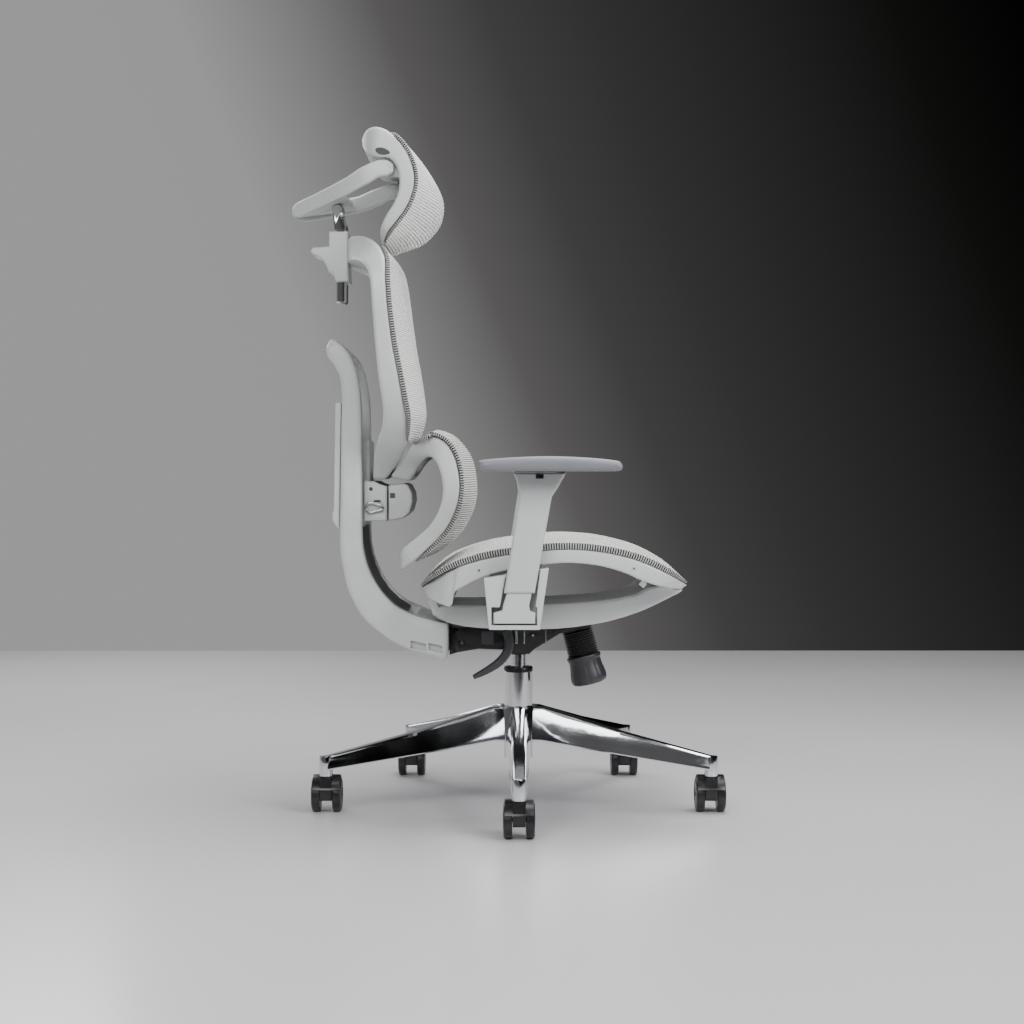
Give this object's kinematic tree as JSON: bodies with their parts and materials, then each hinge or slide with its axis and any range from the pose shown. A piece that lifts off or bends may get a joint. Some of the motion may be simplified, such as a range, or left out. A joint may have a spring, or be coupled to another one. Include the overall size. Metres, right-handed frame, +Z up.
{
  "type": "swivel office chair",
  "caption": "Ergonomic swivel chair with mesh seat, split mesh back on a J-shaped spine, lumbar support, headrest, height-adjustable arms, gas lift and a star base on twin-wheel casters.",
  "frame": {"origin": "on the floor under the middle of the chair's overall box", "axes": "+Z up, +X the way the sitter faces, +Y to the sitter's left"},
  "size_m": [0.757, 0.73, 1.1758],
  "materials": {
    "grey_shell": "light cool grey moulded nylon, fine satin grain",
    "black_plastic": "glossy black moulded nylon",
    "black_steel": "black powder-coated pressed steel",
    "charcoal_grip": "charcoal moulded plastic, satin",
    "chrome": "polished chrome plate",
    "polished_alloy": "polished die-cast aluminium",
    "woven_mesh": "taut ribbed elastomer mesh, off-white, with a dark stitched edge",
    "arm_pad": "mid-grey soft-touch moulded polyurethane"
  },
  "bodies": {
    "base": {"base_star": "polished_alloy", "lift_tube": "chrome", "lift_collar": "black_plastic"},
    "caster_1_fork": {"caster_1_housing": "black_plastic", "caster_1_stem": "chrome"},
    "caster_1_wheel_a": {"caster_1_wheel_a": "black_plastic"},
    "caster_1_wheel_b": {"caster_1_wheel_b": "black_plastic"},
    "caster_2_fork": {"caster_2_housing": "black_plastic", "caster_2_stem": "chrome"},
    "caster_2_wheel_a": {"caster_2_wheel_a": "black_plastic"},
    "caster_2_wheel_b": {"caster_2_wheel_b": "black_plastic"},
    "caster_3_fork": {"caster_3_housing": "black_plastic", "caster_3_stem": "chrome"},
    "caster_3_wheel_a": {"caster_3_wheel_a": "black_plastic"},
    "caster_3_wheel_b": {"caster_3_wheel_b": "black_plastic"},
    "caster_4_fork": {"caster_4_housing": "black_plastic", "caster_4_stem": "chrome"},
    "caster_4_wheel_a": {"caster_4_wheel_a": "black_plastic"},
    "caster_4_wheel_b": {"caster_4_wheel_b": "black_plastic"},
    "caster_5_fork": {"caster_5_housing": "black_plastic", "caster_5_stem": "chrome"},
    "caster_5_wheel_a": {"caster_5_wheel_a": "black_plastic"},
    "caster_5_wheel_b": {"caster_5_wheel_b": "black_plastic"},
    "lift_rod": {"lift_rod": "chrome"},
    "seat": {"tilt_housing": "black_steel", "tilt_pin": "chrome", "tension_bellows": "black_plastic", "seat_carrier": "grey_shell", "seat_frame": "grey_shell", "seat_mesh": "woven_mesh", "arm_right_post": "grey_shell", "arm_left_post": "grey_shell"},
    "height_lever": {"height_lever": "charcoal_grip"},
    "tension_knob": {"tension_knob": "charcoal_grip"},
    "back": {"tilt_carrier": "black_steel", "spine_frame": "grey_shell", "spine_web": "black_plastic", "spine_cover": "grey_shell"},
    "upper_back": {"back_bracket": "grey_shell", "upper_frame": "grey_shell", "upper_mesh": "woven_mesh", "headrest_clamp": "grey_shell"},
    "release_loop": {"release_loop": "chrome"},
    "lumbar": {"lumbar_carrier": "grey_shell", "lumbar_frame": "grey_shell", "lumbar_mesh": "woven_mesh"},
    "headrest_stem": {"headrest_stem": "chrome", "headrest_pin": "grey_shell"},
    "headrest_yoke": {"headrest_yoke": "grey_shell"},
    "headrest": {"headrest_frame": "grey_shell", "headrest_mesh": "woven_mesh"},
    "arm_right_sleeve": {"arm_right_sleeve": "grey_shell"},
    "arm_right_button": {"arm_right_button": "black_plastic"},
    "arm_right_swivel": {"arm_right_swivel": "black_steel"},
    "arm_right_pad": {"arm_right_pad": "arm_pad"},
    "arm_left_sleeve": {"arm_left_sleeve": "grey_shell"},
    "arm_left_button": {"arm_left_button": "black_plastic"},
    "arm_left_swivel": {"arm_left_swivel": "black_steel"},
    "arm_left_pad": {"arm_left_pad": "arm_pad"}
  },
  "joints": [
    {"name": "caster_1_swivel", "type": "hinge", "parent": "base", "child": "caster_1_fork", "pos_m": [0.0193, -0.35, 0.06], "axis": [0, 0, 1], "continuous": true},
    {"name": "caster_1_spin_a", "type": "hinge", "parent": "caster_1_fork", "child": "caster_1_wheel_a", "pos_m": [0.0005, -0.332, 0.03], "axis": [1, 0, 0], "continuous": true},
    {"name": "caster_1_spin_b", "type": "hinge", "parent": "caster_1_fork", "child": "caster_1_wheel_b", "pos_m": [0.0381, -0.332, 0.03], "axis": [1, 0, 0], "continuous": true},
    {"name": "caster_2_swivel", "type": "hinge", "parent": "base", "child": "caster_2_fork", "pos_m": [0.35217, -0.10816, 0.06], "axis": [0, 0, 1], "continuous": true},
    {"name": "caster_2_spin_a", "type": "hinge", "parent": "caster_2_fork", "child": "caster_2_wheel_a", "pos_m": [0.33337, -0.09016, 0.03], "axis": [1, 0, 0], "continuous": true},
    {"name": "caster_2_spin_b", "type": "hinge", "parent": "caster_2_fork", "child": "caster_2_wheel_b", "pos_m": [0.37097, -0.09016, 0.03], "axis": [1, 0, 0], "continuous": true},
    {"name": "caster_3_swivel", "type": "hinge", "parent": "base", "child": "caster_3_fork", "pos_m": [0.22502, 0.28316, 0.06], "axis": [0, 0, 1], "continuous": true},
    {"name": "caster_3_spin_a", "type": "hinge", "parent": "caster_3_fork", "child": "caster_3_wheel_a", "pos_m": [0.20622, 0.30116, 0.03], "axis": [1, 0, 0], "continuous": true},
    {"name": "caster_3_spin_b", "type": "hinge", "parent": "caster_3_fork", "child": "caster_3_wheel_b", "pos_m": [0.24382, 0.30116, 0.03], "axis": [1, 0, 0], "continuous": true},
    {"name": "caster_4_swivel", "type": "hinge", "parent": "base", "child": "caster_4_fork", "pos_m": [-0.18642, 0.28316, 0.06], "axis": [0, 0, 1], "continuous": true},
    {"name": "caster_4_spin_a", "type": "hinge", "parent": "caster_4_fork", "child": "caster_4_wheel_a", "pos_m": [-0.20522, 0.30116, 0.03], "axis": [1, 0, 0], "continuous": true},
    {"name": "caster_4_spin_b", "type": "hinge", "parent": "caster_4_fork", "child": "caster_4_wheel_b", "pos_m": [-0.16762, 0.30116, 0.03], "axis": [1, 0, 0], "continuous": true},
    {"name": "caster_5_swivel", "type": "hinge", "parent": "base", "child": "caster_5_fork", "pos_m": [-0.31357, -0.10816, 0.06], "axis": [0, 0, 1], "continuous": true},
    {"name": "caster_5_spin_a", "type": "hinge", "parent": "caster_5_fork", "child": "caster_5_wheel_a", "pos_m": [-0.33237, -0.09016, 0.03], "axis": [1, 0, 0], "continuous": true},
    {"name": "caster_5_spin_b", "type": "hinge", "parent": "caster_5_fork", "child": "caster_5_wheel_b", "pos_m": [-0.29477, -0.09016, 0.03], "axis": [1, 0, 0], "continuous": true},
    {"name": "seat_height", "type": "slide", "parent": "base", "child": "lift_rod", "axis": [0, 0, 1], "range_m": [0, 0.1]},
    {"name": "seat_swivel", "type": "hinge", "parent": "lift_rod", "child": "seat", "pos_m": [0.0193, 0, 0.28], "axis": [0, 0, 1], "continuous": true},
    {"name": "height_lever_lift", "type": "hinge", "parent": "seat", "child": "height_lever", "pos_m": [-0.0007, -0.09, 0.305], "axis": [0, 1, 0], "range_deg": [0, 12], "stiffness_Nm_per_rad": 0.6, "springref_deg": -14.32},
    {"name": "tension_turn", "type": "hinge", "parent": "seat", "child": "tension_knob", "pos_m": [0.1233, 0, 0.312], "axis": [0.2359, 0, -0.9718], "continuous": true},
    {"name": "back_recline", "type": "hinge", "parent": "seat", "child": "back", "pos_m": [-0.0795, 0, 0.2925], "axis": [0, -1, 0], "range_deg": [0, 20], "stiffness_Nm_per_rad": 90, "springref_deg": -28.65},
    {"name": "back_height", "type": "slide", "parent": "back", "child": "upper_back", "axis": [0, 0, 1], "range_m": [0, 0.05]},
    {"name": "release_turn", "type": "hinge", "parent": "upper_back", "child": "release_loop", "pos_m": [-0.2157, -0.08, 0.528], "axis": [0, 1, 0], "range_deg": [0, 25], "stiffness_Nm_per_rad": 0.08, "springref_deg": -17.19},
    {"name": "lumbar_depth", "type": "slide", "parent": "upper_back", "child": "lumbar", "axis": [1, 0, 0], "range_m": [0, 0.02]},
    {"name": "headrest_height", "type": "slide", "parent": "upper_back", "child": "headrest_stem", "axis": [0, 0, 1], "range_m": [0, 0.04]},
    {"name": "yoke_tilt", "type": "hinge", "parent": "headrest_stem", "child": "headrest_yoke", "pos_m": [-0.2997, 0, 1.051], "axis": [0, -1, 0], "range_deg": [0, 25]},
    {"name": "headrest_tilt", "type": "hinge", "parent": "headrest_yoke", "child": "headrest", "pos_m": [-0.2042, 0, 1.106], "axis": [0, -1, 0], "range_deg": [0, 12]},
    {"name": "arm_right_height", "type": "slide", "parent": "seat", "child": "arm_right_sleeve", "axis": [0.1668, 0, 0.986], "range_m": [0, 0.07]},
    {"name": "arm_right_press", "type": "slide", "parent": "arm_right_sleeve", "child": "arm_right_button", "axis": [0, 1, 0], "range_m": [0, 0.002], "stiffness_N_per_m": 600, "springref_m": -0.001},
    {"name": "arm_right_turn", "type": "hinge", "parent": "arm_right_sleeve", "child": "arm_right_swivel", "pos_m": [0.0533, -0.28, 0.59], "axis": [0, 0, 1], "range_deg": [-20, 20]},
    {"name": "arm_right_slide", "type": "slide", "parent": "arm_right_swivel", "child": "arm_right_pad", "axis": [1, 0, 0], "range_m": [-0.02, 0.02]},
    {"name": "arm_left_height", "type": "slide", "parent": "seat", "child": "arm_left_sleeve", "axis": [0.1668, 0, 0.986], "range_m": [0, 0.07]},
    {"name": "arm_left_press", "type": "slide", "parent": "arm_left_sleeve", "child": "arm_left_button", "axis": [0, -1, 0], "range_m": [0, 0.002], "stiffness_N_per_m": 600, "springref_m": -0.001},
    {"name": "arm_left_turn", "type": "hinge", "parent": "arm_left_sleeve", "child": "arm_left_swivel", "pos_m": [0.0533, 0.28, 0.59], "axis": [0, 0, 1], "range_deg": [-20, 20]},
    {"name": "arm_left_slide", "type": "slide", "parent": "arm_left_swivel", "child": "arm_left_pad", "axis": [1, 0, 0], "range_m": [-0.02, 0.02]}
  ]
}
